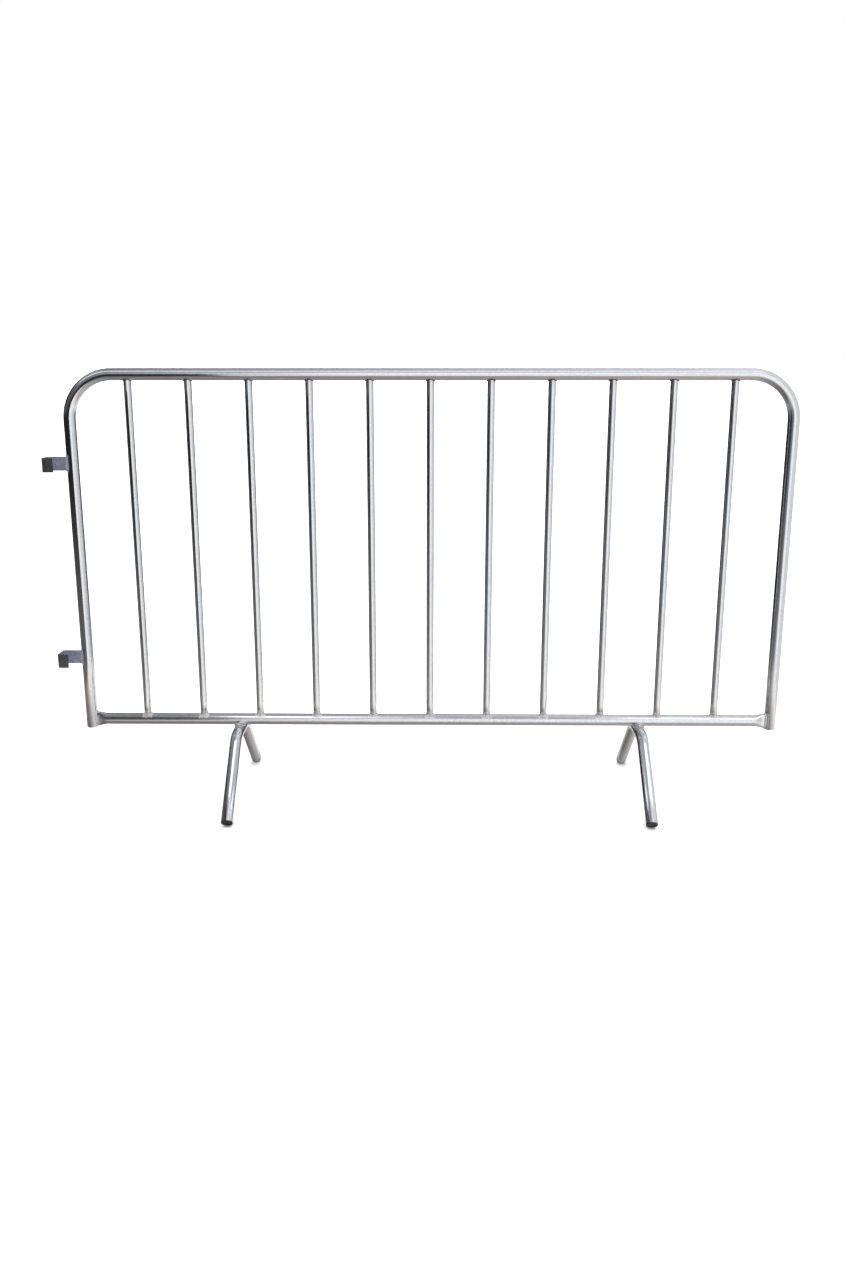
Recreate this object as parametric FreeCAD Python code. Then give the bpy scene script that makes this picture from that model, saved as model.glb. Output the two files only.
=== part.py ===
import FreeCAD, Part
import math
import os

from FreeCAD import Vector

# A fixed-leg crowd control barrier, in millimetres. A welded panel of round tube stands on
# two bent legs and hooks onto the plain post of the next barrier.
# +X runs along the panel from the hooked post to the plain one, +Z is up, and the hooks
# open towards -Y. The origin is on the ground, under the middle of the overall length.

# The panel
PANEL_LENGTH = 1970.0          # over the outsides of the two posts
OVERALL_HEIGHT = 1200.0        # ground to the top of the top rail
BOTTOM_RAIL_HEIGHT = 223.0     # ground to the bottom rail's centre line
FRAME_TUBE = 32.0              # outside diameter of the hoop and the bottom rail
FRAME_WALL = 1.5
CORNER_BEND = 120.0            # centre-line radius of the hoop's two top corners
BAR_COUNT = 11
BAR_TUBE = 20.0
BAR_WALL = 1.2

# The bottom rail's flattened ends
CRIMP_THICKNESS = 16.0         # across the flats, where the end meets its post
CRIMP_LENGTH = 26.0            # run over which the round tube becomes flat
POST_TAIL = 3.0                # how far a post runs on below the flattened end

# The legs
LEG_TUBE = 32.0
LEG_WALL = 2.0
LEG_INSET_HOOKED = 424.0       # from the hooked post's centre line
LEG_INSET_PLAIN = 372.0        # from the plain post's centre line
LEG_CROWN = 130.0              # fore and aft between the corners of the leg's centre line
LEG_SLOPE = 43.5               # degrees below level
LEG_BEND = 70.0                # centre-line radius of the leg's two bends
LEG_SEAT = 1.0                 # how deep the rail is let into the crown of the leg

# The plugs in the leg ends
PLUG_FLANGE = 3.0
PLUG_EDGE = 0.8                # rounding of the flange's outer edge
PLUG_STEM = 20.0               # how far the stem goes into the leg
PLUG_STEM_GAP = 1.0            # radial, between the stem and the leg's bore
PLUG_FIN_GAP = 0.1             # radial, between a fin's rim and the leg's bore
PLUG_FIN = 2.0                 # thickness of a fin
PLUG_FIN_COUNT = 3

# The hooks, bent from flat bar
HOOK_DROP = 236.0              # top rail's centre line down to the upper hook's middle
HOOK_RISE = 183.0              # bottom rail's centre line up to the lower hook's middle
HOOK_WIDTH = 38.0
HOOK_THICKNESS = 4.0
HOOK_REACH = 69.0              # hooked post's centre line to the hook's outer face
HOOK_JAW = 46.0                # clear space between the back plate and the tip
HOOK_TIP = 30.0                # length of the tip, over the outer bend
HOOK_BEND = 5.0                # centre-line radius

# Weld beads
BAR_BEAD = 2.5
FRAME_BEAD = 3.0

UP = Vector(0, 0, 1)
ALONG = Vector(1, 0, 0)

frame_radius = FRAME_TUBE / 2
leg_radius = LEG_TUBE / 2
top_rail_height = OVERALL_HEIGHT - frame_radius
panel_middle = (HOOK_REACH - frame_radius) / 2
post_spacing = PANEL_LENGTH - FRAME_TUBE
hooked_post = panel_middle - post_spacing / 2
plain_post = panel_middle + post_spacing / 2
bar_pitch = post_spacing / (BAR_COUNT + 1)
bar_places = [hooked_post + bar_pitch * (i + 1) for i in range(BAR_COUNT)]

# A flattened tube keeps its girth, which gives its height from its thickness.
crimp_height = (math.pi * FRAME_TUBE - (math.pi - 2) * CRIMP_THICKNESS) / 2
post_foot = BOTTOM_RAIL_HEIGHT - crimp_height / 2 - POST_TAIL
flat_reach = frame_radius + FRAME_BEAD    # from a post's centre line, past the weld

# The legs stand on the lowest point of their plugs' rounded rims, which is at Z = 0.
slope = math.radians(LEG_SLOPE)
leg_crown_height = BOTTOM_RAIL_HEIGHT - frame_radius - leg_radius + LEG_SEAT
leg_end_height = ((PLUG_FLANGE - PLUG_EDGE) * math.sin(slope)
                  + (leg_radius - PLUG_EDGE) * math.cos(slope) + PLUG_EDGE)
leg_end_reach = LEG_CROWN / 2 + (leg_crown_height - leg_end_height) / math.tan(slope)
hook_heights = {
    "hook_upper": top_rail_height - HOOK_DROP,
    "hook_lower": BOTTOM_RAIL_HEIGHT + HOOK_RISE,
}
leg_places = {"left": hooked_post + LEG_INSET_HOOKED, "right": plain_post - LEG_INSET_PLAIN}


def ring(diameter, wall):
    """Gives a function that draws a tube's section square to a direction."""
    def section(centre, direction):
        outer = Part.Face(Part.Wire(Part.makeCircle(diameter / 2, centre, direction)))
        bore = Part.Face(Part.Wire(Part.makeCircle(diameter / 2 - wall, centre, direction)))
        return outer.cut(bore).Faces[0]
    return section


def flat_bar(centre, direction):
    """The hook's section, on edge and square to a level direction."""
    half_thickness = direction.cross(UP) * (HOOK_THICKNESS / 2)
    half_width = UP * (HOOK_WIDTH / 2)
    corners = [
        centre + half_thickness + half_width,
        centre - half_thickness + half_width,
        centre - half_thickness - half_width,
        centre + half_thickness - half_width,
    ]
    return Part.Face(Part.makePolygon(corners + corners[:1]))


def bent(section, points, bend):
    """One solid that carries a section along straight runs joined by arcs."""
    spans = []
    start = points[0]
    for before, corner, after in zip(points, points[1:], points[2:]):
        ahead = (corner - before).normalize()
        onward = (after - corner).normalize()
        turn = ahead.getAngle(onward)
        setback = bend * math.tan(turn / 2)
        arc_start = corner - ahead * setback
        axis = ahead.cross(onward).normalize()
        centre = arc_start + axis.cross(ahead) * bend
        spans.append(section(start, ahead).extrude(arc_start - start))
        spans.append(section(arc_start, ahead).revolve(centre, axis, math.degrees(turn)))
        start = corner + onward * setback
    ahead = (points[-1] - start).normalize()
    spans.append(section(start, ahead).extrude(points[-1] - start))
    return one_solid(spans)


def one_solid(shapes):
    """Joins touching shapes into one solid."""
    joined = shapes[0].multiFuse(shapes[1:]).removeSplitter()
    return joined.Solids[0]


def rod(radius, start, end):
    return Part.makeCylinder(radius, (end - start).Length, start, end - start)


def post_rod(x, radius):
    """A post's outline as a solid rod, or one grown by a weld bead."""
    return rod(radius, Vector(x, 0, post_foot), Vector(x, 0, top_rail_height - CORNER_BEND))


def rail_rod(height, radius):
    """A rail's outline as a solid rod between the posts' centre lines."""
    return rod(radius, Vector(hooked_post, 0, height), Vector(plain_post, 0, height))


def frame_hoop():
    """Both posts and the top rail: one tube with two bends and open lower ends."""
    points = [
        Vector(hooked_post, 0, post_foot),
        Vector(hooked_post, 0, top_rail_height),
        Vector(plain_post, 0, top_rail_height),
        Vector(plain_post, 0, post_foot),
    ]
    return bent(ring(FRAME_TUBE, FRAME_WALL), points, CORNER_BEND)


def round_wire(x, radius):
    """The rail's round section, in four arcs that pair with the flattened section's sides."""
    shift = radius * math.sqrt(0.5)
    centre = Vector(x, 0, BOTTOM_RAIL_HEIGHT)
    corners = [centre + Vector(0, y, z) for y, z in
               ((shift, -shift), (shift, shift), (-shift, shift), (-shift, -shift))]
    middles = [centre + Vector(0, y, z) for y, z in
               ((radius, 0), (0, radius), (-radius, 0), (0, -radius))]
    ends = corners[1:] + corners[:1]
    return Part.Wire([Part.Arc(a, m, b).toShape() for a, m, b in zip(corners, middles, ends)])


def flattened_wire(x, height, thickness):
    """The rail's flattened section: two flats joined by half circles."""
    half = thickness / 2
    rise = height / 2 - half
    centre = Vector(x, 0, BOTTOM_RAIL_HEIGHT)
    low_back, high_back = centre + Vector(0, half, -rise), centre + Vector(0, half, rise)
    low_front, high_front = centre + Vector(0, -half, -rise), centre + Vector(0, -half, rise)
    return Part.Wire([
        Part.makeLine(low_back, high_back),
        Part.Arc(high_back, centre + Vector(0, 0, height / 2), high_front).toShape(),
        Part.makeLine(high_front, low_front),
        Part.Arc(low_front, centre - Vector(0, 0, height / 2), low_back).toShape(),
    ])


def crimped_end(post, inward, skin):
    """One end of the rail, a skin's thickness inside its outside, from its post's centre line."""
    flat_run = ALONG * (inward * flat_reach)
    flat_end = flattened_wire(post, crimp_height - 2 * skin, CRIMP_THICKNESS - 2 * skin)
    flat_start = flat_end.translated(flat_run)
    round_end = round_wire(post + inward * (flat_reach + CRIMP_LENGTH), frame_radius - skin)
    return [Part.Face(flat_end).extrude(flat_run),
            Part.makeLoft([flat_start, round_end], True, True)]


def bottom_rail_outline(skin):
    """The rail as a solid: its outside, or its bore where skin is the wall."""
    inset = flat_reach + CRIMP_LENGTH
    middle = rod(frame_radius - skin, Vector(hooked_post + inset, 0, BOTTOM_RAIL_HEIGHT),
                 Vector(plain_post - inset, 0, BOTTOM_RAIL_HEIGHT))
    ends = crimped_end(hooked_post, 1, skin) + crimped_end(plain_post, -1, skin)
    return one_solid([middle] + ends)


def bottom_rail():
    """The lower cross tube, its flattened ends shaped to the posts."""
    rail = bottom_rail_outline(0).cut(bottom_rail_outline(FRAME_WALL))
    for post in (hooked_post, plain_post):
        rail = rail.cut(post_rod(post, frame_radius))
    return rail.Solids[0]


def bar(x):
    """One upright bar, its ends shaped to the rails."""
    low, high = Vector(x, 0, BOTTOM_RAIL_HEIGHT), Vector(x, 0, top_rail_height)
    tube = ring(BAR_TUBE, BAR_WALL)(low, UP).extrude(high - low)
    for height in (BOTTOM_RAIL_HEIGHT, top_rail_height):
        tube = tube.cut(rail_rod(height, frame_radius))
    return tube.Solids[0]


def leg(x):
    """A tube bent into an arch, its crown seated under the bottom rail."""
    points = [
        Vector(x, -leg_end_reach, leg_end_height),
        Vector(x, -LEG_CROWN / 2, leg_crown_height),
        Vector(x, LEG_CROWN / 2, leg_crown_height),
        Vector(x, leg_end_reach, leg_end_height),
    ]
    tube = bent(ring(LEG_TUBE, LEG_WALL), points, LEG_BEND)
    return tube.cut(rail_rod(BOTTOM_RAIL_HEIGHT, frame_radius)).Solids[0]


def foot_plug(x, side):
    """A moulded plug: a rounded flange on the leg's end and a finned stem in its bore."""
    bore_radius = leg_radius - LEG_WALL
    flange = Part.makeCylinder(leg_radius, PLUG_FLANGE)
    outer_edge = [e for e in flange.Edges
                  if e.Closed and abs(e.CenterOfMass.z - PLUG_FLANGE) < PLUG_EDGE]
    flange = flange.makeFillet(PLUG_EDGE, outer_edge)
    stem = Part.makeCylinder(bore_radius - PLUG_STEM_GAP, PLUG_STEM, Vector(0, 0, -PLUG_STEM))
    fin_pitch = PLUG_STEM / PLUG_FIN_COUNT
    fins = [
        Part.makeCylinder(bore_radius - PLUG_FIN_GAP, PLUG_FIN, Vector(0, 0, -fin_pitch * (i + 1)))
        for i in range(PLUG_FIN_COUNT)
    ]
    plug = one_solid([flange, stem] + fins)
    outward = Vector(0, side * math.cos(slope), -math.sin(slope))
    end = Vector(x, side * leg_end_reach, leg_end_height)
    plug.Placement = FreeCAD.Placement(end, FreeCAD.Rotation(UP, outward))
    return plug


def hook(height):
    """A flat bar bent round a neighbour's post: back plate, outer web and tip."""
    back = 0.0
    front = back - HOOK_JAW - HOOK_THICKNESS
    outer = hooked_post - HOOK_REACH + HOOK_THICKNESS / 2
    points = [
        Vector(hooked_post, back, height),
        Vector(outer, back, height),
        Vector(outer, front, height),
        Vector(hooked_post - HOOK_REACH + HOOK_TIP, front, height),
    ]
    plate = bent(flat_bar, points, HOOK_BEND)
    return plate.cut(post_rod(hooked_post, frame_radius)).Solids[0]


def bead(first, second, first_grown, second_grown):
    """Weld metal in the corner between two solids, as deep as both were grown."""
    return first_grown.common(second_grown).cut(first).cut(second).Solids[0]


def bar_weld(x, height, side):
    """The bead round a bar's end, on the rail's upper side for +1 or its lower for -1."""
    start = Vector(x, 0, height)
    end = start + UP * (side * FRAME_TUBE)
    return bead(rod(BAR_TUBE / 2, start, end), rail_rod(height, frame_radius),
                rod(BAR_TUBE / 2 + BAR_BEAD, start, end),
                rail_rod(height, frame_radius + BAR_BEAD))


def rail_end_weld(post, inward):
    """The bead round a flattened rail end, where it meets its post."""
    reach = ALONG * (inward * flat_reach)
    end = flattened_wire(post, crimp_height, CRIMP_THICKNESS)
    grown = flattened_wire(post, crimp_height + 2 * FRAME_BEAD, CRIMP_THICKNESS + 2 * FRAME_BEAD)
    return bead(Part.Face(end).extrude(reach), post_rod(post, frame_radius),
                Part.Face(grown).extrude(reach), post_rod(post, frame_radius + FRAME_BEAD))


def leg_weld(x):
    """The bead round the place where a leg's crown meets the rail."""
    front = Vector(x, -FRAME_TUBE, leg_crown_height)
    rear = Vector(x, FRAME_TUBE, leg_crown_height)
    return bead(rod(leg_radius, front, rear), rail_rod(BOTTOM_RAIL_HEIGHT, frame_radius),
                rod(leg_radius + FRAME_BEAD, front, rear),
                rail_rod(BOTTOM_RAIL_HEIGHT, frame_radius + FRAME_BEAD))


def hook_weld(height):
    """The bead round a hook's back plate, where it meets the hooked post."""
    length = frame_radius + FRAME_BEAD
    width, thickness = HOOK_WIDTH + 2 * FRAME_BEAD, HOOK_THICKNESS + 2 * FRAME_BEAD
    corner = Vector(hooked_post - length, -thickness / 2, height - width / 2)
    grown_plate = Part.makeBox(length, thickness, width, corner)
    return bead(hook(height), post_rod(hooked_post, frame_radius),
                grown_plate, post_rod(hooked_post, frame_radius + FRAME_BEAD))


def export(name, solids):
    """Writes one node: a single solid, or a group of separate ones."""
    shape = solids[0] if len(solids) == 1 else Part.makeCompound(solids)
    shape.exportStep(f"parts/{name}.step")


os.makedirs("parts", exist_ok=True)

export("frame_hoop", [frame_hoop()])
export("bottom_rail", [bottom_rail()])

for number, place in enumerate(bar_places, start=1):
    export(f"bar_{number:02d}", [bar(place)])

for side_name, place in leg_places.items():
    export(f"leg_{side_name}", [leg(place)])
    export(f"foot_plug_{side_name}_front", [foot_plug(place, -1)])
    export(f"foot_plug_{side_name}_rear", [foot_plug(place, 1)])

for hook_name, height in hook_heights.items():
    export(hook_name, [hook(height)])

export("bar_welds_top", [bar_weld(place, top_rail_height, -1) for place in bar_places])
export("bar_welds_bottom", [bar_weld(place, BOTTOM_RAIL_HEIGHT, 1) for place in bar_places])
export("rail_end_welds", [rail_end_weld(hooked_post, 1), rail_end_weld(plain_post, -1)])
export("leg_welds", [leg_weld(place) for place in leg_places.values()])
export("hook_welds", [hook_weld(height) for height in hook_heights.values()])
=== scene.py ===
import math

import bmesh
import bpy
from mathutils import Matrix, Vector


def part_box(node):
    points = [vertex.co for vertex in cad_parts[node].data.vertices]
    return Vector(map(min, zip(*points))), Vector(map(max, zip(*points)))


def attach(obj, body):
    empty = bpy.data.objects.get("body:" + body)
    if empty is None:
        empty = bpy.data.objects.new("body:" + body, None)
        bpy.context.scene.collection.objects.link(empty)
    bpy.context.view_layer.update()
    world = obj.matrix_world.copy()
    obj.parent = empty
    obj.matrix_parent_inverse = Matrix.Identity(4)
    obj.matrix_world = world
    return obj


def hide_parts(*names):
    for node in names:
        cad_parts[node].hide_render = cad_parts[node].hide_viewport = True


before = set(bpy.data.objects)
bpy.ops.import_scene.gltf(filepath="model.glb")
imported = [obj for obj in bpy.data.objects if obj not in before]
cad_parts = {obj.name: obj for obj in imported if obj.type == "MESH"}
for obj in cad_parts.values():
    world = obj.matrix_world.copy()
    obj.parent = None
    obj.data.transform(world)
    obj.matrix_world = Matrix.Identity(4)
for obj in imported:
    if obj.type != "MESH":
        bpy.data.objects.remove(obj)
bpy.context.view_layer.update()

# A fixed-leg crowd control barrier in bright pre-galvanised tube. Lengths are in metres.
# +X runs along the panel from the hooked post to the plain one, and the hooks open to -Y.

# Stock sizes of the tube, bar and plugs
FRAME_TUBE = 0.032
FRAME_WALL = 0.0015
BAR_TUBE = 0.020
BAR_WALL = 0.0012
LEG_TUBE = 0.032
LEG_WALL = 0.002
CORNER_BEND = 0.120            # centre-line radius
LEG_BEND = 0.070
LEG_CROWN = 0.130              # fore and aft between the corners of a leg's centre line
LEG_SLOPE = math.radians(43.5)
CRIMP_THICKNESS = 0.016
CRIMP_FLAT = 0.019             # from a post's centre line to where the rail starts to round
CRIMP_LENGTH = 0.026
HOOK_WIDTH = 0.038
HOOK_THICKNESS = 0.004
HOOK_BEND = 0.005
HOOK_TIP = 0.030
HOOK_CORNER = 0.0007           # the rolled bar's rounded corners
HOOK_CUT_EDGE = 0.0004
PLUG_FLANGE = 0.003
PLUG_EDGE = 0.0008
# The sunk face of the flange, as (radius, depth) from its centre to its rim
PLUG_DISH = ((0.0, 0.0007), (0.0105, 0.0007), (0.0112, 0.0002), (0.0118, 0.0))
PLUG_STEM = 0.020
PLUG_STEM_GAP = 0.001
PLUG_FIN = 0.002
PLUG_FIN_GAP = 0.0001
PLUG_FIN_TAPER = 0.0004
PLUG_FIN_COUNT = 3
RIM_BEVEL = 0.0003             # the burr that a deburring wheel takes off a cut end

# How finely the pieces are drawn
TUBE_SIDES = 64
BAR_SIDES = 48
BEND_STEPS = 24
HOOK_BEND_STEPS = 10
PRESSED_STEP = 0.0015          # along a rail's pressed ends, where the shape changes fast
BEAD_SIDES = 12
BEAD_STEPS = 96

UP = Vector((0, 0, 1))
ALONG = Vector((1, 0, 0))
RUN = "drawn"                  # the attribute that holds a point's place in the straight tube


# Places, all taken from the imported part
def middle(node):
    """The centre of a CAD node's box."""
    low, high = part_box(node)
    return (low + high) / 2


frame_radius = FRAME_TUBE / 2
leg_radius = LEG_TUBE / 2
hoop_low, hoop_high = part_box("frame_hoop")
hooked_post = hoop_low.x + frame_radius
plain_post = hoop_high.x - frame_radius
post_foot = hoop_low.z
top_rail = hoop_high.z - frame_radius
bottom_rail = middle("bottom_rail").z
bar_nodes = sorted(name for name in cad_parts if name.startswith("bar_") and name[4:].isdigit())
bar_places = [middle(name).x for name in bar_nodes]
bar_pitch = (plain_post - hooked_post) / (len(bar_nodes) + 1)
leg_low, leg_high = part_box("leg_left")
leg_crown = leg_high.z - leg_radius
leg_end = Vector((0, leg_high.y - leg_radius * math.sin(LEG_SLOPE),
                  leg_low.z + leg_radius * math.cos(LEG_SLOPE)))

# A flattened tube keeps its girth, which gives its height from its thickness.
crimp_height = (math.pi * FRAME_TUBE - (math.pi - 2) * CRIMP_THICKNESS) / 2


# Tubes
def turn_about(centre, axis, angle):
    """A matrix that turns about an axis through a point."""
    return Matrix.Translation(centre) @ Matrix.Rotation(angle, 4, axis) @ Matrix.Translation(-centre)


def straight_moves(vector, step):
    """Equal moves along a straight run, each a matrix and how far it goes."""
    count = max(1, round(vector.length / step))
    return [(Matrix.Translation(vector / count), vector.length / count)] * count


def path_moves(points, bend, step, bend_steps=BEND_STEPS):
    """The moves that carry a section along straight runs joined by tangent arcs."""
    moves = []
    start = points[0]
    for before, corner, after in zip(points, points[1:], points[2:]):
        ahead, onward = (corner - before).normalized(), (after - corner).normalized()
        turn = ahead.angle(onward)
        setback = bend * math.tan(turn / 2)
        arc_start = corner - ahead * setback
        axis = ahead.cross(onward).normalized()
        centre = arc_start + axis.cross(ahead) * bend
        moves += straight_moves(arc_start - start, step)
        moves += [(turn_about(centre, axis, turn / bend_steps), turn * bend / bend_steps)] * bend_steps
        start = corner + onward * setback
    return moves + straight_moves(points[-1] - start, step)


def loop_edges(verts):
    """The edges that run between neighbours of a closed loop."""
    ring = set(verts)
    return list(dict.fromkeys(e for v in verts for e in v.link_edges if e.other_vert(v) in ring))


def carry(bm, verts, moves, along):
    """Extrudes a closed loop through the moves, and returns the loop at the far end."""
    for matrix, distance in moves:
        made = bmesh.ops.extrude_edge_only(bm, edges=loop_edges(verts))["geom"]
        verts = [g for g in made if isinstance(g, bmesh.types.BMVert)]
        bmesh.ops.transform(bm, matrix=matrix, verts=verts)
        for v in verts:
            v[along] = v[along] + UP * distance
    return verts


def facing(start, direction):
    """A matrix that takes the XY plane to a point, square to a direction."""
    return Matrix.Translation(start) @ direction.to_track_quat("Z", "Y").to_matrix().to_4x4()


def tube_mesh(start, direction, moves, diameter, wall, sides):
    """A hollow tube carried through the moves, its outside and bore joined at deburred rims."""
    bm = bmesh.new()
    along = bm.verts.layers.float_vector.new(RUN)
    place = facing(start, direction)
    first_rims, last_rims = [], []
    for radius in (diameter / 2, diameter / 2 - wall):
        ring = bmesh.ops.create_circle(bm, cap_ends=False, segments=sides, radius=radius)["verts"]
        for v in ring:
            v[along] = v.co
        bmesh.ops.transform(bm, matrix=place, verts=ring)
        first_rims += loop_edges(ring)
        last_rims += loop_edges(carry(bm, ring, moves, along))
    for rims in (first_rims, last_rims):
        bmesh.ops.bridge_loops(bm, edges=rims)
    bmesh.ops.bevel(bm, geom=first_rims + last_rims, offset=RIM_BEVEL, offset_type="OFFSET",
                    segments=2, profile=0.5, affect="EDGES", material=-1)
    bmesh.ops.recalc_face_normals(bm, faces=bm.faces)
    return bm


def finish_piece(name, bm, material, node, sharp=math.radians(40)):
    """Makes a piece from a mesh that is already in place, and stands it in for its CAD node."""
    mesh = bpy.data.meshes.new(name)
    bm.to_mesh(mesh)
    bm.free()
    mesh.shade_smooth()
    mesh.set_sharp_from_angle(angle=sharp)
    mesh.materials.append(material)
    piece = bpy.data.objects.new(name, mesh)
    bpy.context.scene.collection.objects.link(piece)
    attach(piece, "root")
    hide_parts(node)


def make_hoop(material):
    """Both posts and the top rail: one tube with two bends, open at its lower ends."""
    points = [
        Vector((hooked_post, 0, post_foot)),
        Vector((hooked_post, 0, top_rail)),
        Vector((plain_post, 0, top_rail)),
        Vector((plain_post, 0, post_foot)),
    ]
    moves = path_moves(points, CORNER_BEND, 0.2)
    bm = tube_mesh(points[0], UP, moves, FRAME_TUBE, FRAME_WALL, TUBE_SIDES)
    finish_piece("hoop_tube", bm, material, "frame_hoop")


def flattened(angle, height, thickness):
    """A point of a flattened tube's outline and its outward direction, both in YZ.

    The point lies as far round the outline as the angle does round the tube, from +Y."""
    half, rise = thickness / 2, (height - thickness) / 2
    quarter = rise + half * math.pi / 2
    folded = math.atan2(abs(math.sin(angle)), abs(math.cos(angle)))
    distance = folded / (math.pi / 2) * quarter
    lean = max(0.0, (distance - rise) / half)
    side = math.copysign(1, math.cos(angle))
    lift = math.copysign(1, math.sin(angle))
    outward = Vector((0, side * math.cos(lean), lift * math.sin(lean)))
    spine = Vector((0, 0, lift * min(distance, rise)))
    return spine + outward * half, outward


def smooth(t):
    """Eases from 0 to 1."""
    t = min(1.0, max(0.0, t))
    return t * t * (3 - 2 * t)


def saddle(sideways, radius):
    """How far a round tube's surface stands off its centre line, at a distance to the side."""
    return math.sqrt(max(0.0, radius ** 2 - sideways ** 2))


def make_bottom_rail(material):
    """The lower cross tube: pressed flat at its ends, and shaped there to the posts."""
    start = hooked_post + CRIMP_THICKNESS / 2
    shaped = CRIMP_FLAT + CRIMP_LENGTH
    end_moves = straight_moves(ALONG * shaped, PRESSED_STEP)
    plain_length = plain_post - CRIMP_THICKNESS / 2 - start - 2 * shaped
    moves = end_moves + straight_moves(ALONG * plain_length, 0.2) + end_moves
    bm = tube_mesh(Vector((start, 0, bottom_rail)), ALONG, moves, FRAME_TUBE, FRAME_WALL, TUBE_SIDES)
    for v in bm.verts:
        post, inward = (hooked_post, 1) if v.co.x < 0 else (plain_post, -1)
        offset = (v.co.x - post) * inward
        press = smooth(1 - (offset - CRIMP_FLAT) / CRIMP_LENGTH)
        if press == 0:
            continue
        radial = Vector((0, v.co.y, v.co.z - bottom_rail))
        angle = math.atan2(radial.z, radial.y)
        skin = frame_radius - radial.length
        point, outward = flattened(angle, crimp_height, CRIMP_THICKNESS)
        pressed = point - outward * skin
        radial = radial.lerp(pressed, press)
        v.co.y, v.co.z = radial.y, radial.z + bottom_rail
        # Points that would lie inside the post move out to its surface, and keep a fifth of their spacing.
        reach = max(offset, saddle(v.co.y, frame_radius) + (offset - CRIMP_THICKNESS / 2) / 5)
        v.co.x = post + inward * reach
    finish_piece("bottom_rail_tube", bm, material, "bottom_rail")


def make_bar(node, x, material):
    """One upright bar, its ends shaped to the rails."""
    start = Vector((x, 0, bottom_rail + frame_radius))
    moves = straight_moves(UP * (top_rail - bottom_rail - 2 * frame_radius), 0.04)
    bm = tube_mesh(start, UP, moves, BAR_TUBE, BAR_WALL, BAR_SIDES)
    half_height, centre = (top_rail - bottom_rail) / 2, (top_rail + bottom_rail) / 2
    for v in bm.verts:
        from_end = half_height - abs(v.co.z - centre) - frame_radius
        if from_end < BAR_WALL:
            fall = frame_radius - saddle(v.co.y, frame_radius)
            v.co.z += math.copysign(fall, v.co.z - centre)
    finish_piece(node.replace("bar", "upright"), bm, material, node)


def make_leg(node, material):
    """A tube bent into an arch, its crown under the bottom rail and its ends splayed."""
    x = middle(node).x
    points = [
        Vector((x, -leg_end.y, leg_end.z)),
        Vector((x, -LEG_CROWN / 2, leg_crown)),
        Vector((x, LEG_CROWN / 2, leg_crown)),
        Vector((x, leg_end.y, leg_end.z)),
    ]
    moves = path_moves(points, LEG_BEND, 0.1)
    bm = tube_mesh(points[0], (points[1] - points[0]).normalized(), moves, LEG_TUBE, LEG_WALL, TUBE_SIDES)
    finish_piece(node + "_tube", bm, material, node)


# Hooks
def make_hook(node, material):
    """A flat bar bent round a neighbour's post: back plate, outer web and tip."""
    low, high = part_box(node)
    back, front = high.y - HOOK_THICKNESS / 2, low.y + HOOK_THICKNESS / 2
    outer, height = low.x + HOOK_THICKNESS / 2, middle(node).z
    weld_edge = hooked_post - saddle(HOOK_THICKNESS / 2, frame_radius)
    points = [
        Vector((weld_edge, back, height)),
        Vector((outer, back, height)),
        Vector((outer, front, height)),
        Vector((low.x + HOOK_TIP, front, height)),
    ]
    bm = bmesh.new()
    along = bm.verts.layers.float_vector.new(RUN)
    section = bmesh.ops.create_grid(bm, x_segments=1, y_segments=1, size=0.5)["verts"]
    bmesh.ops.scale(bm, vec=Vector((HOOK_THICKNESS, HOOK_WIDTH, 1)), verts=section)
    bmesh.ops.bevel(bm, geom=section, offset=HOOK_CORNER, offset_type="OFFSET", segments=3, profile=0.5,
                    affect="VERTICES", material=-1)
    for v in bm.verts:
        v[along] = v.co
    bmesh.ops.delete(bm, geom=bm.faces[:], context="FACES_ONLY")
    # The section's thickness lies along Y, its width along Z, and it faces -X.
    place = Matrix.Translation(points[0]) @ Matrix((
        (0, 0, -1, 0), (1, 0, 0, 0), (0, 1, 0, 0), (0, 0, 0, 1)))
    start = bm.verts[:]
    bmesh.ops.transform(bm, matrix=place, verts=start)
    end = carry(bm, start, path_moves(points, HOOK_BEND, 0.01, HOOK_BEND_STEPS), along)
    caps = []
    for loop in (start, end):
        caps += bmesh.ops.contextual_create(bm, geom=loop_edges(loop))["faces"]
    bmesh.ops.recalc_face_normals(bm, faces=bm.faces)
    bmesh.ops.bevel(bm, geom=[e for f in caps for e in f.edges], offset=HOOK_CUT_EDGE,
                    offset_type="OFFSET", segments=2, profile=0.5, affect="EDGES", material=-1)
    finish_piece(node + "_plate", bm, material, node)


# Plugs
def plug_outline():
    """Half of a plug's section, as (radius, height) from the face to the stem's end."""
    bore = leg_radius - LEG_WALL
    stem = bore - PLUG_STEM_GAP
    outline = [(radius, PLUG_FLANGE - depth) for radius, depth in PLUG_DISH]
    for degrees in range(90, -1, -15):
        lean = math.radians(degrees)
        outline.append((leg_radius - PLUG_EDGE * (1 - math.cos(lean)),
                        PLUG_FLANGE - PLUG_EDGE * (1 - math.sin(lean))))
    outline += [(leg_radius, 0.0), (stem, 0.0)]
    for number in range(PLUG_FIN_COUNT):
        root = PLUG_FIN - PLUG_STEM / PLUG_FIN_COUNT * (number + 1)
        rim = bore - PLUG_FIN_GAP
        outline += [
            (stem, root),
            (rim, root - PLUG_FIN_TAPER),
            (rim, root - PLUG_FIN + 2 * PLUG_FIN_TAPER),
            (stem, root - PLUG_FIN),
        ]
    return outline + [(0.0, -PLUG_STEM)]


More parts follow.
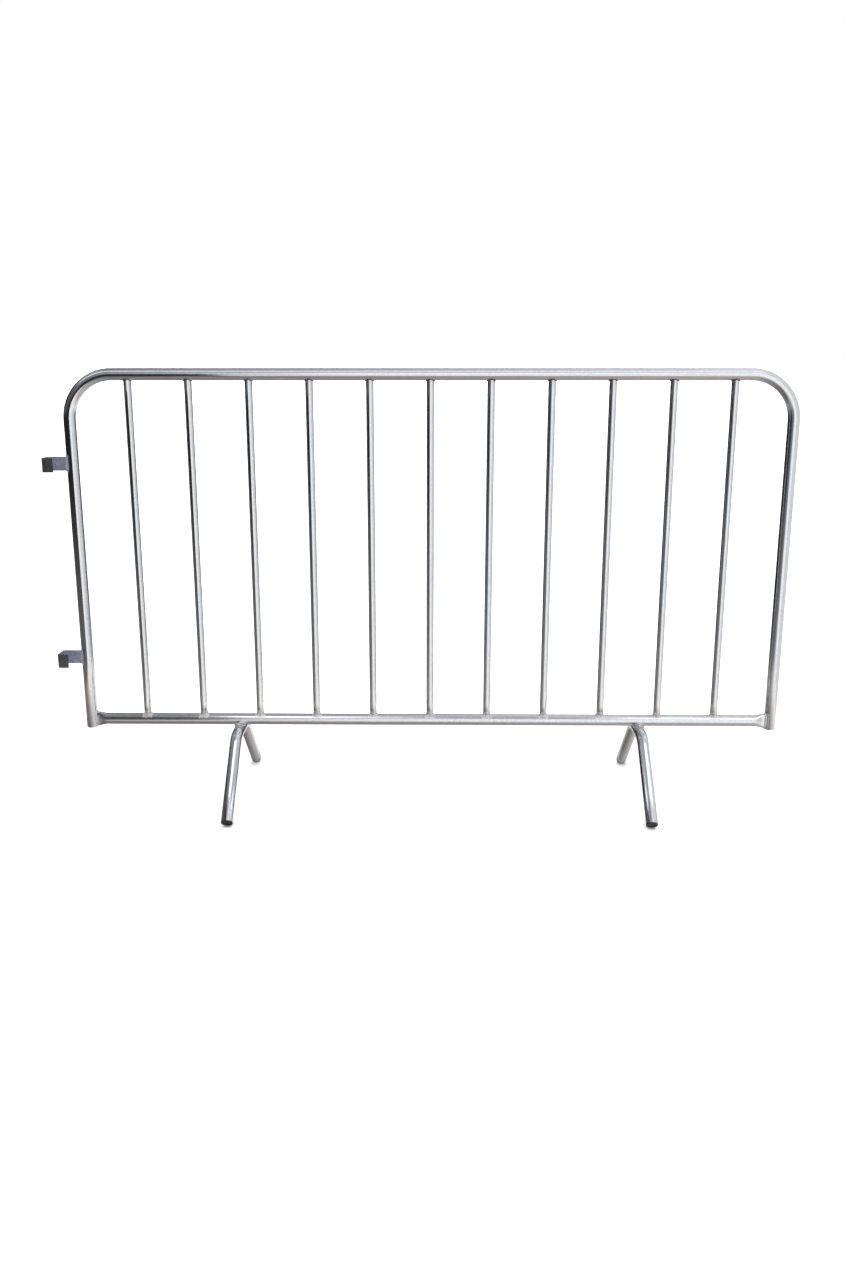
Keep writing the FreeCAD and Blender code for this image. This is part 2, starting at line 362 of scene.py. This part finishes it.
def make_plug(node, material):
    """A moulded plug: a rounded, slightly dished flange and a finned stem in the leg's bore."""
    bm = bmesh.new()
    line = [bm.verts.new((radius, 0, height)) for radius, height in plug_outline()]
    edges = [bm.edges.new(pair) for pair in zip(line, line[1:])]
    bmesh.ops.spin(bm, geom=line + edges, cent=(0, 0, 0), axis=UP, dvec=(0, 0, 0),
                   angle=2 * math.pi, steps=TUBE_SIDES, use_merge=True)
    bmesh.ops.remove_doubles(bm, verts=bm.verts, dist=1e-6)
    bmesh.ops.recalc_face_normals(bm, faces=bm.faces)
    side = math.copysign(1, middle(node).y)
    outward = Vector((0, side * math.cos(LEG_SLOPE), -math.sin(LEG_SLOPE)))
    end = Vector((middle(node).x, side * leg_end.y, leg_end.z))
    bmesh.ops.transform(bm, matrix=facing(end, outward), verts=bm.verts)
    finish_piece(node.replace("foot_plug", "plug"), bm, material, node)


# Welds: each kind of bead has a half-width, a height and a count of ripples
TOP_BEAD = (0.0022, 0.0022, 14)
FOOT_BEAD = (0.0026, 0.0026, 14)
RAIL_END_BEAD = (0.0028, 0.0028, 26)
CROWN_BEAD = (0.0042, 0.0036, 16)
HOOK_BEAD = (0.0028, 0.0028, 24)
CROWN_BEAD_REACH = 0.012       # from the leg's centre to the bead's
RING_RADIUS = 2.0              # of the plain ring that a bead is laid from, in bead half-widths


def plain_ring():
    """A ring of round section, a unit thick to each side, that every bead starts from."""
    bm = bmesh.new()
    upright = Matrix.Translation((RING_RADIUS, 0, 0)) @ Matrix.Rotation(math.pi / 2, 4, "X")
    bmesh.ops.create_circle(bm, cap_ends=False, segments=BEAD_SIDES, radius=1.0, matrix=upright)
    bmesh.ops.spin(bm, geom=bm.verts[:] + bm.edges[:], cent=(0, 0, 0), axis=UP, dvec=(0, 0, 0),
                   angle=2 * math.pi, steps=BEAD_STEPS, use_merge=True)
    mesh = bpy.data.meshes.new("plain_ring")
    bm.to_mesh(mesh)
    bm.free()
    return mesh


def lay_bead(bm, ring, place, kind, seed):
    """Lays a closed, rippled weld bead along a path.

    place(angle) gives a point of the path, the bead's outward direction and its rise."""
    width, depth, ripples = kind
    first = len(bm.verts)
    bm.from_mesh(ring)
    bm.verts.ensure_lookup_table()
    for v in bm.verts[first:]:
        angle = math.atan2(v.co.y, v.co.x)
        across, rise = math.hypot(v.co.x, v.co.y) - RING_RADIUS, v.co.z
        # The ripples vary the bead's size by 9 %, and slower drifts vary it by 14 % and 8 %.
        wave = 1 + 0.09 * math.cos(ripples * (angle + 0.25 * across / ripples) + seed)
        drift = 1 + 0.14 * math.sin(2 * angle + seed) + 0.08 * math.sin(5 * angle + 2.3 * seed)
        point, outward, up = place(angle)
        v.co = point + outward * (across * width * wave * drift) + up * (rise * depth * wave * drift)


def bar_bead(x, rail, side):
    """The path of the bead round a bar's end, on the rail's upper or lower side."""
    def place(angle):
        outward = Vector((math.cos(angle), math.sin(angle), 0))
        foot = outward * (BAR_TUBE / 2)
        point = Vector((x, 0, rail)) + foot + UP * (side * saddle(foot.y, frame_radius))
        return point, outward, UP * side
    return place


def plate_bead(post, inward, height, size, thickness):
    """The path of the bead round a flat end on a post: a rail's pressed end or a hook's plate."""
    def place(angle):
        point, outward = flattened(angle, size, thickness)
        point = point + Vector((post + inward * saddle(point.y, frame_radius), 0, height))
        return point, outward, ALONG * inward
    return place


def crown_bead(x):
    """The path of the bead that rings the place where a leg's crown touches the rail."""
    def place(angle):
        outward = Vector((math.cos(angle), math.sin(angle), 0))
        offset = outward * CROWN_BEAD_REACH
        under_rail = bottom_rail - saddle(offset.y, frame_radius)
        on_leg = leg_crown + saddle(offset.x, leg_radius)
        return Vector((x, 0, (under_rail + on_leg) / 2)) + offset, outward, UP
    return place


def make_beads(name, node, paths, kind, material):
    """All the beads of one kind as one piece, each with ripples of its own."""
    bm = bmesh.new()
    ring = plain_ring()
    for number, place in enumerate(paths):
        lay_bead(bm, ring, place, kind, seed=1.7 * number)
    bpy.data.meshes.remove(ring)
    bmesh.ops.recalc_face_normals(bm, faces=bm.faces)
    finish_piece(name, bm, material, node, sharp=math.pi)


# Materials
COLOUR_A, COLOUR_B, COLOUR_MIXED = 6, 7, 2     # a Mix node's colour sockets share names with its others
PAST_ALL = 2.0                                 # a place beyond the part's ends on any axis


def linear(hex_colour):
    """An sRGB hex colour as linear RGBA."""
    parts = [int(hex_colour[i:i + 2], 16) / 255 for i in (1, 3, 5)]
    return [c / 12.92 if c <= 0.04045 else ((c + 0.055) / 1.055) ** 2.4 for c in parts] + [1.0]


def add(tree, kind, links=None, inputs=None, stops=(), **settings):
    """Adds a node with its settings, and links its inputs from (node, output) pairs.

    A colour ramp's stops are (position, grey level or hex colour)."""
    node = tree.nodes.new(kind)
    for setting, value in settings.items():
        setattr(node, setting, value)
    for socket, value in (inputs or {}).items():
        node.inputs[socket].default_value = value
    for _ in stops[2:]:
        node.color_ramp.elements.new(0.5)
    for number, (position, colour) in enumerate(stops):
        element = node.color_ramp.elements[number]
        element.position = position
        element.color = linear(colour) if isinstance(colour, str) else (colour, colour, colour, 1)
    for socket, (source, output) in (links or {}).items():
        tree.links.new(source.outputs[output], node.inputs[socket])
    return node


def new_material(name):
    """A material and its empty node tree."""
    material = bpy.data.materials.new(name)
    material.use_nodes = True
    material.node_tree.nodes.clear()
    return material, material.node_tree


def close_material(tree, shader):
    """Links a finished shader to the material's surface."""
    add(tree, "ShaderNodeOutputMaterial", {"Surface": (shader, "BSDF")})


def from_nearest_bar(tree, place):
    """How far along a rail a point is from the nearest bar or post."""
    offset = add(tree, "ShaderNodeMath", {0: (place, "X")}, {1: bar_places[0]}, operation="SUBTRACT")
    return add(tree, "ShaderNodeMath", {0: (offset, 0)}, {1: bar_pitch / 2}, operation="PINGPONG")


def brushed_patches(tree, place, patches):
    """A mask of the painted places: each patch is the bands (axis, low, high, fade) that bound it.

    The axis "bar" is the distance along a rail from the nearest bar or post."""
    mask = None
    for patch in patches:
        inside = None
        for axis, low, high, fade in patch:
            source = (from_nearest_bar(tree, place), 0) if axis == "bar" else (place, axis)
            offset = add(tree, "ShaderNodeMath", {0: source}, {1: (low + high) / 2}, operation="SUBTRACT")
            distance = add(tree, "ShaderNodeMath", {0: (offset, 0)}, operation="ABSOLUTE")
            band = add(tree, "ShaderNodeMapRange", {"Value": (distance, 0)},
                       {"From Min": (high - low) / 2 + fade, "From Max": (high - low) / 2},
                       interpolation_type="SMOOTHSTEP")
            inside = add(tree, "ShaderNodeMath", {0: (inside, 0), 1: (band, 0)},
                         operation="MULTIPLY") if inside else band
        mask = add(tree, "ShaderNodeMath", {0: (mask, 0), 1: (inside, 0)},
                   operation="MAXIMUM") if mask else inside
    return mask


def around(axis, centre, reach):
    """The band of a patch that reaches as far to both sides, and fades over half as much again."""
    return axis, centre - reach, centre + reach, reach / 2


def galvanised_tube(name, smoothest, roughest, patches):
    """Pre-galvanised steel tube, rolled from coated strip: bright, smooth and faintly streaked.

    Round each weld, where the heat burnt the zinc off, it is brushed with zinc-rich paint: a paler
    grey, matt patch with a ragged edge."""
    material, tree = new_material(name)
    drawn = add(tree, "ShaderNodeAttribute", attribute_name=RUN)
    # Long streaks left by the forming rolls, about 3 mm apart and 30 times as long.
    stretched = add(tree, "ShaderNodeMapping", {"Vector": (drawn, "Vector")}, {"Scale": (1, 1, 1 / 30)})
    streaks = add(tree, "ShaderNodeTexNoise", {"Vector": (stretched, "Vector")},
                  {"Scale": 1 / 0.003, "Detail": 3.0, "Roughness": 0.6})
    # Zinc crystals, 6 mm across, that show only as a faint mottle.
    spangle = add(tree, "ShaderNodeTexVoronoi", {"Vector": (drawn, "Vector")}, {"Scale": 1 / 0.006})
    # Slow swells in the wall, 18 mm across and 90 mm long, that make the highlights wander.
    swell_map = add(tree, "ShaderNodeMapping", {"Vector": (drawn, "Vector")}, {"Scale": (1, 1, 1 / 5)})
    swell = add(tree, "ShaderNodeTexNoise", {"Vector": (swell_map, "Vector")},
                {"Scale": 1 / 0.018, "Detail": 1.0})
    tone = add(tree, "ShaderNodeMix", {"A": (spangle, "Color"), "B": (streaks, "Fac")},
               {"Factor": 0.75}, data_type="FLOAT")
    zinc = add(tree, "ShaderNodeValToRGB", {"Fac": (tone, "Result")},
               stops=[(0.25, "#d3d6da"), (0.5, "#e0e2e5"), (0.75, "#e9eaec")])
    zinc_rough = add(tree, "ShaderNodeValToRGB", {"Fac": (tone, "Result")},
                     stops=[(0.25, smoothest), (0.75, roughest)])

    # The paint, with bristle marks about 4 mm long. It is thin, so it half covers the zinc.
    object_place = add(tree, "ShaderNodeTexCoord")
    place = add(tree, "ShaderNodeSeparateXYZ", {"Vector": (object_place, "Object")})
    brushed = add(tree, "ShaderNodeTexNoise", {"Vector": (object_place, "Object")},
                  {"Scale": 1 / 0.004, "Detail": 4.0, "Roughness": 0.6})
    ragged = add(tree, "ShaderNodeMath",
                 {0: (brushed_patches(tree, place, patches), 0), 1: (brushed, "Fac")}, operation="MULTIPLY")
    cover = add(tree, "ShaderNodeMapRange", {"Value": (ragged, 0)},
                {"From Min": 0.22, "From Max": 0.46, "To Max": 0.5})
    colour = add(tree, "ShaderNodeMix", {0: (cover, "Result"), COLOUR_A: (zinc, "Color")},
                 {COLOUR_B: linear("#bdbdbc")}, data_type="RGBA")
    rough = add(tree, "ShaderNodeMix", {"Factor": (cover, "Result"), "A": (zinc_rough, "Color")},
                {"B": 0.46}, data_type="FLOAT")
    metal = add(tree, "ShaderNodeMapRange", {"Value": (cover, "Result")}, {"To Min": 1.0, "To Max": 0.6})

    waves = add(tree, "ShaderNodeBump", {"Height": (swell, "Fac")}, {"Strength": 0.5, "Distance": 0.0003})
    lines = add(tree, "ShaderNodeBump", {"Height": (streaks, "Fac"), "Normal": (waves, "Normal")},
                {"Strength": 0.15, "Distance": 0.00005})
    thick = add(tree, "ShaderNodeMath", {0: (cover, "Result"), 1: (brushed, "Fac")}, operation="MULTIPLY")
    strokes = add(tree, "ShaderNodeBump", {"Height": (thick, 0), "Normal": (lines, "Normal")},
                  {"Strength": 0.6, "Distance": 0.0003})
    shader = add(tree, "ShaderNodeBsdfPrincipled",
                 {"Base Color": (colour, COLOUR_MIXED), "Roughness": (rough, "Result"),
                  "Metallic": (metal, "Result"), "Normal": (strokes, "Normal")})
    close_material(tree, shader)
    return material


def galvanised_flat_bar(name, tip_shade):
    """Hot-dip galvanised flat bar: a dull, bluish zinc coat, with painted shade that darkens the hook's tip.
    """
    material, tree = new_material(name)
    place = add(tree, "ShaderNodeTexCoord")
    # Zinc crystals 6 mm across, and clouds of oxide twice as large.
    spangle = add(tree, "ShaderNodeTexVoronoi", {"Vector": (place, "Object")}, {"Scale": 1 / 0.006})
    cloud = add(tree, "ShaderNodeTexNoise", {"Vector": (place, "Object")},
                {"Scale": 1 / 0.012, "Detail": 5.0, "Roughness": 0.65})
    tone = add(tree, "ShaderNodeMix", {"A": (spangle, "Distance"), "B": (cloud, "Fac")},
               {"Factor": 0.65}, data_type="FLOAT")
    zinc = add(tree, "ShaderNodeValToRGB", {"Fac": (tone, "Result")},
               stops=[(0.25, "#696c80"), (0.55, "#84879c"), (0.8, "#9fa1b0")])
    # Painted shade: the tip, at the front of the hook, is coloured darker than the plate.
    shaded_tip = add(tree, "ShaderNodeValToRGB", {"Fac": (cloud, "Fac")},
               stops=[(0.3, "#29292b"), (0.7, "#4b4b4d")])
    split = add(tree, "ShaderNodeSeparateXYZ", {"Vector": (place, "Object")})
    tip = add(tree, "ShaderNodeMapRange", {"Value": (split, "Y")},
              {"From Min": -0.040, "From Max": -0.047, "To Max": tip_shade})
    colour = add(tree, "ShaderNodeMix",
                 {0: (tip, "Result"), COLOUR_A: (zinc, "Color"), COLOUR_B: (shaded_tip, "Color")}, data_type="RGBA")
    rough = add(tree, "ShaderNodeValToRGB", {"Fac": (cloud, "Fac")}, stops=[(0.3, 0.38), (0.7, 0.55)])
    bump = add(tree, "ShaderNodeBump", {"Height": (cloud, "Fac")}, {"Strength": 0.35, "Distance": 0.0004})
    shader = add(tree, "ShaderNodeBsdfPrincipled",
                 {"Base Color": (colour, COLOUR_MIXED), "Roughness": (rough, "Color"),
                  "Normal": (bump, "Normal")}, {"Metallic": 0.5})
    close_material(tree, shader)
    return material


def weld(name, dull, pale, metallic, roughness):
    """Weld metal, laid in fine ripples with a grain of oxide or paint over them."""
    material, tree = new_material(name)
    place = add(tree, "ShaderNodeTexCoord")
    # A real grain is too fine to show, so it is drawn at 1.5 mm.
    grain = add(tree, "ShaderNodeTexNoise", {"Vector": (place, "Object")},
                {"Scale": 1 / 0.0015, "Detail": 4.0, "Roughness": 0.7})
    cloud = add(tree, "ShaderNodeTexNoise", {"Vector": (place, "Object")}, {"Scale": 1 / 0.006})
    colour = add(tree, "ShaderNodeValToRGB", {"Fac": (cloud, "Fac")}, stops=[(0.35, dull), (0.62, pale)])
    bump = add(tree, "ShaderNodeBump", {"Height": (grain, "Fac")}, {"Strength": 0.5, "Distance": 0.0003})
    shader = add(tree, "ShaderNodeBsdfPrincipled",
                 {"Base Color": (colour, "Color"), "Normal": (bump, "Normal")},
                 {"Metallic": metallic, "Roughness": roughness})
    close_material(tree, shader)
    return material


def moulded_plug():
    """Black polyethylene, moulded with a fine grain and scuffed pale where it has been stood on."""
    material, tree = new_material("moulded_polyethylene")
    place = add(tree, "ShaderNodeTexCoord")
    # A real moulded grain is too fine to show, so it is drawn at 0.8 mm.
    grain = add(tree, "ShaderNodeTexNoise", {"Vector": (place, "Object")},
                {"Scale": 1 / 0.0008, "Detail": 2.0})
    scuff = add(tree, "ShaderNodeTexNoise", {"Vector": (place, "Object")},
                {"Scale": 1 / 0.006, "Detail": 6.0, "Roughness": 0.7})
    colour = add(tree, "ShaderNodeValToRGB", {"Fac": (scuff, "Fac")},
                 stops=[(0.45, "#101112"), (0.62, "#1d1e1f"), (0.75, "#3c3b39")])
    rough = add(tree, "ShaderNodeValToRGB", {"Fac": (scuff, "Fac")}, stops=[(0.4, 0.38), (0.7, 0.62)])
    bump = add(tree, "ShaderNodeBump", {"Height": (grain, "Fac")}, {"Strength": 0.3, "Distance": 0.0001})
    shader = add(tree, "ShaderNodeBsdfPrincipled",
                 {"Base Color": (colour, "Color"), "Roughness": (rough, "Color"), "Normal": (bump, "Normal")},
                 {"IOR": 1.51})
    close_material(tree, shader)
    return material


# The studio
ALL_BUT_MIRRORS = ("visible_camera", "visible_diffuse", "visible_shadow", "visible_transmission")


def plane(name, size, matrix, material):
    """A flat stage piece, laid level at the origin and then put in its place."""
    bm = bmesh.new()
    bmesh.ops.create_grid(bm, x_segments=1, y_segments=1, size=0.5)
    bmesh.ops.scale(bm, vec=Vector((size[0], size[1], 1)), verts=bm.verts)
    bmesh.ops.transform(bm, matrix=matrix, verts=bm.verts)
    mesh = bpy.data.meshes.new(name)
    bm.to_mesh(mesh)
    bm.free()
    mesh.materials.append(material)
    card = bpy.data.objects.new(name, mesh)
    bpy.context.scene.collection.objects.link(card)
    return card


def mirrored_card(name, size, matrix, material):
    """A card that the metal mirrors, and that neither lights the scene nor is seen."""
    card = plane(name, size, matrix, material)
    for view in ALL_BUT_MIRRORS:
        setattr(card, view, False)


def upright_card(name, low, high, material):
    """A mirrored card that stands between two corners."""
    low, high = Vector(low), Vector(high)
    run = Vector((high.x - low.x, high.y - low.y, 0))
    across = run.normalized()
    matrix = Matrix.Translation((low + high) / 2) @ Matrix((
        (across.x, 0, across.y, 0), (across.y, 0, -across.x, 0), (0, 1, 0, 0), (0, 0, 0, 1)))
    mirrored_card(name, (run.length, high.z - low.z), matrix, material)


def low_card(name, low, high, height, material):
    """A mirrored card that lies face down at a height, between two corners (x, y)."""
    size = (high[0] - low[0], high[1] - low[1])
    centre = Vector(((low[0] + high[0]) / 2, (low[1] + high[1]) / 2, height))
    mirrored_card(name, size, Matrix.Translation(centre) @ Matrix.Rotation(math.pi, 4, "X"), material)


def glow(name, colour, strength):
    """A plain, even glow."""
    material, tree = new_material(name)
    shader = add(tree, "ShaderNodeEmission", inputs={"Color": linear(colour), "Strength": strength})
    add(tree, "ShaderNodeOutputMaterial", {"Surface": (shader, "Emission")})
    return material


def graded_glow(name, axis, start, end, stops, strength=1.0, one_sided=False):
    """A glow whose brightness follows one axis of the room, from start to end in metres.

    A one-sided glow shows only on the side that the card faces."""
    material, tree = new_material(name)
    place = add(tree, "ShaderNodeTexCoord")
    split = add(tree, "ShaderNodeSeparateXYZ", {"Vector": (place, "Object")})
    reach = add(tree, "ShaderNodeMapRange", {"Value": (split, axis)}, {"From Min": start, "From Max": end})
    shade = add(tree, "ShaderNodeValToRGB", {"Fac": (reach, "Result")}, stops=stops)
    shader = add(tree, "ShaderNodeEmission", {"Color": (shade, "Color")}, {"Strength": strength})
    if one_sided:
        side = add(tree, "ShaderNodeNewGeometry")
        clear = add(tree, "ShaderNodeBsdfTransparent")
        shader = add(tree, "ShaderNodeMixShader",
                     {0: (side, "Backfacing"), 1: (shader, "Emission"), 2: (clear, "BSDF")})
    add(tree, "ShaderNodeOutputMaterial", {"Surface": (shader, 0)})
    return material


def floor_material():
    """A matt, near-white studio floor, with a faint mottle a third of a metre across."""
    material, tree = new_material("studio_floor")
    place = add(tree, "ShaderNodeTexCoord")
    mottle = add(tree, "ShaderNodeTexNoise", {"Vector": (place, "Object")}, {"Scale": 3.0})
    colour = add(tree, "ShaderNodeValToRGB", {"Fac": (mottle, "Fac")},
                 stops=[(0.3, "#f1efed"), (0.7, "#f5f4f2")])
    shader = add(tree, "ShaderNodeBsdfPrincipled", {"Base Color": (colour, "Color")},
                 {"Roughness": 0.9, "Specular IOR Level": 0.1})
    close_material(tree, shader)
    return material


def make_cards():
    """What the metal mirrors besides the room."""
    # A dark wall on the left darkens the tubes' left flanks.
    dark_stops = [(0.0, 0.17), (0.3, 0.10), (0.45, 0.045), (0.6, 0.018), (0.76, 0.018), (0.84, 0.10)]
    upright_card("dark_wall", (-3.4, 1.6, 0.0), (-0.80, -1.32, 1.3),
                 graded_glow("dark_wall", "Z", 0.0, 1.4, dark_stops))
    # A bright wall on the right brightens their right flanks.
    upright_card("bright_wall", (1.9, -1.5, 0.0), (1.35, 0.9, 2.6), glow("bright_wall", "#f2f4f6", 0.9))
    # A strip of skylight overhead lays a bright line along the rails.
    mirrored_card("skylight", (7.0, 0.6), Matrix.Translation((0, -1.08, 3.0)),
                  glow("skylight", "#ffffff", 1.3))
    # A card above the front feet is bright over the left leg, then dim as far as the right leg, and
    # bright again past it. The card to its left is dim all over.
    leg_stops = [(0.0, 0.1), (0.04, 0.95), (0.14, 0.9), (0.25, 0.45), (0.34, 0.22), (0.54, 0.2), (0.61, 0.9)]
    low_card("leg_light", (-0.75, -0.645), (1.75, -0.195), 0.85,
             graded_glow("leg_light", "X", -0.75, 1.75, leg_stops, strength=2.0, one_sided=True))
    low_card("leg_fill", (-2.4, -0.7), (-0.75, 0.1), 0.85,
             graded_glow("leg_fill", "X", -2.4, -0.75, [(0.0, 0.2), (1.0, 0.24)], one_sided=True))


def blend(tree, split, axis, start, end, inside, outside):
    """Fades one zone of the room into another, from start to end on one axis of the direction."""
    share = add(tree, "ShaderNodeMapRange", {"Value": (split, axis)}, {"From Min": start, "From Max": end})
    mixed = add(tree, "ShaderNodeMix", {0: (share, "Result"), COLOUR_A: inside, COLOUR_B: outside},
                data_type="RGBA")
    return mixed, COLOUR_MIXED


def make_world():
    """A white backdrop, and a room for the metal to mirror.

    The room is dark on the left and at the back, and bright in front and on the right."""
    world = bpy.data.worlds.new("studio")
    world.use_nodes = True
    tree = world.node_tree
    tree.nodes.clear()
    direction = add(tree, "ShaderNodeTexCoord")
    split = add(tree, "ShaderNodeSeparateXYZ", {"Vector": (direction, "Generated")})
    # Each zone of the room is graded from the far left, at 0, to the far right, at 1.
    side = add(tree, "ShaderNodeMapRange", {"Value": (split, "X")}, {"From Min": -1.0, "From Max": 1.0})
    zones = {
        "level": [(0.0, "#383c42"), (0.2, "#686c74"), (0.34, "#80848c"), (0.41, "#c8cbd0"),
                  (0.46, "#f6f7f8"), (0.75, "#f4f5f6"), (1.0, "#c4c6c8")],
        "ceiling": [(0.0, "#74777c"), (0.22, "#9a9ca2"), (0.33, "#74777e"), (0.42, "#9a9aa5"),
                    (0.5, "#b4b4bc"), (0.67, "#e4e6ea")],
        "apron": [(0.0, "#6a6462"), (0.33, "#bdb5af"), (0.5, "#ece5df"), (0.67, "#f5f0ec")],
        "ground": [(0.0, "#3a3634"), (0.33, "#757070"), (0.5, "#969090"), (0.67, "#b4afab"),
                   (1.0, "#d0ccc9")],
        "back": [(0.0, "#101214"), (0.5, "#34383a"), (0.8, "#4c5254"), (1.0, "#747a7c")],
    }
    tone = {name: (add(tree, "ShaderNodeValToRGB", {"Fac": (side, "Result")}, stops=stops), "Color")
            for name, stops in zones.items()}
    room = blend(tree, split, "Y", -0.1, 0.3, tone["level"], tone["back"])
    room = blend(tree, split, "Z", -0.20, -0.34, room, tone["apron"])
    room = blend(tree, split, "Z", -0.42, -0.64, room, tone["ground"])
    room = blend(tree, split, "Z", 0.38, 0.62, room, tone["ceiling"])
    mirrored = add(tree, "ShaderNodeBackground", {"Color": room}, {"Strength": 1.2})
    backdrop = add(tree, "ShaderNodeBackground", inputs={"Color": (1, 1, 1, 1), "Strength": 1.0})
    seen = add(tree, "ShaderNodeLightPath")
    both = add(tree, "ShaderNodeMixShader",
               {0: (seen, "Is Camera Ray"), 1: (mirrored, "Background"), 2: (backdrop, "Background")})
    add(tree, "ShaderNodeOutputWorld", {"Surface": (both, "Shader")})
    bpy.context.scene.world = world


def make_sun():
    """A broad, soft light from overhead that the metal doesn't mirror."""
    data = bpy.data.lights.new("overhead", "SUN")
    data.energy = 4.4
    data.angle = math.radians(90)
    light = bpy.data.objects.new("overhead", data)
    light.rotation_euler = Vector((0.1, 0.15, -1)).to_track_quat("-Z", "Y").to_euler()
    light.visible_glossy = False
    bpy.context.scene.collection.objects.link(light)


def make_camera():
    """Stands 3 m in front, a little above the top rail, and looks down 14 degrees."""
    data = bpy.data.cameras.new("camera")
    data.sensor_width = 36.0
    data.lens = 31.2
    camera = bpy.data.objects.new("camera", data)
    camera.location = (hooked_post + 6.085 * bar_pitch, -18.712 * bar_pitch, bottom_rail + 6.192 * bar_pitch)
    camera.rotation_euler = (math.radians(90 - 14.212), 0, math.radians(0.687))
    bpy.context.scene.collection.objects.link(camera)
    bpy.context.scene.camera = camera


# The finishes, each with the patches of paint round its own welds
rail_top = bottom_rail + frame_radius
bar_patches = [[around("Z", rail_top, 0.009)]]
hoop_patches = [[around("Z", bottom_rail, 0.020), ("X", hooked_post + 0.009, plain_post - 0.009, 0.007)]]
hoop_patches += [[around("Z", middle(hook).z, 0.019), ("X", -PAST_ALL, hooked_post - 0.010, 0.006)]
                 for hook in ("hook_upper", "hook_lower")]
rail_patches = [[around("bar", 0.0, 0.012), ("Z", bottom_rail + 0.010, PAST_ALL, 0.007)]]
rail_patches += [[around("X", middle(leg).x, 0.016), ("Z", -PAST_ALL, bottom_rail - 0.010, 0.007)]
                 for leg in ("leg_left", "leg_right")]
leg_patches = [[around("Y", 0.0, 0.018), ("Z", leg_crown + 0.010, PAST_ALL, 0.008)]]

hoop_metal = galvanised_tube("pre_galvanised_hoop_tube", 0.08, 0.16, hoop_patches)
rail_metal = galvanised_tube("pre_galvanised_rail_tube", 0.16, 0.24, rail_patches)
upright_metal = galvanised_tube("pre_galvanised_bar_tube", 0.09, 0.17, bar_patches)
leg_metal = galvanised_tube("pre_galvanised_leg_tube", 0.14, 0.22, leg_patches)
# The lower hook's tip gets a little less painted shade than the upper hook's.
hook_metal = {
    "hook_upper": galvanised_flat_bar("hot_dip_galvanised_upper_hook", 1.0),
    "hook_lower": galvanised_flat_bar("hot_dip_galvanised_lower_hook", 0.93),
}
# The joints at the bottom rail, the legs and the hooks are brushed with zinc-rich paint, pale and
# matt. The ones under the top rail are as welded, with some shine, in a darker grey-brown: painted shade.
painted_weld = weld("zinc_painted_weld", "#a5a4a3", "#c8c7c4", 0.6, 0.48)
shaded_weld = weld("under_rail_shaded_weld", "#4d4b4a", "#86827e", 0.9, 0.36)
plastic = moulded_plug()

make_hoop(hoop_metal)
make_bottom_rail(rail_metal)
for bar_node, bar_x in zip(bar_nodes, bar_places):
    make_bar(bar_node, bar_x, upright_metal)
for leg_node in ("leg_left", "leg_right"):
    make_leg(leg_node, leg_metal)
for hook_node, metal in hook_metal.items():
    make_hook(hook_node, metal)
for plug_node in sorted(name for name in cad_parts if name.startswith("foot_plug")):
    make_plug(plug_node, plastic)

under_top_rail = [bar_bead(x, top_rail, -1) for x in bar_places]
on_bottom_rail = [bar_bead(x, bottom_rail, 1) for x in bar_places]
rail_ends = [plate_bead(post, inward, bottom_rail, crimp_height, CRIMP_THICKNESS)
             for post, inward in ((hooked_post, 1), (plain_post, -1))]
crowns = [crown_bead(middle(leg).x) for leg in ("leg_left", "leg_right")]
hook_roots = [plate_bead(hooked_post, -1, middle(hook).z, HOOK_WIDTH, HOOK_THICKNESS)
              for hook in ("hook_upper", "hook_lower")]
make_beads("bar_beads_top", "bar_welds_top", under_top_rail, TOP_BEAD, shaded_weld)
make_beads("bar_beads_bottom", "bar_welds_bottom", on_bottom_rail, FOOT_BEAD, painted_weld)
make_beads("rail_end_beads", "rail_end_welds", rail_ends, RAIL_END_BEAD, painted_weld)
make_beads("leg_beads", "leg_welds", crowns, CROWN_BEAD, painted_weld)
make_beads("hook_beads", "hook_welds", hook_roots, HOOK_BEAD, painted_weld)

floor = plane("floor", (400, 400), Matrix.Identity(4), floor_material())
floor.visible_glossy = False
make_cards()
make_world()
make_sun()
make_camera()
bpy.context.scene.view_settings.view_transform = "Standard"
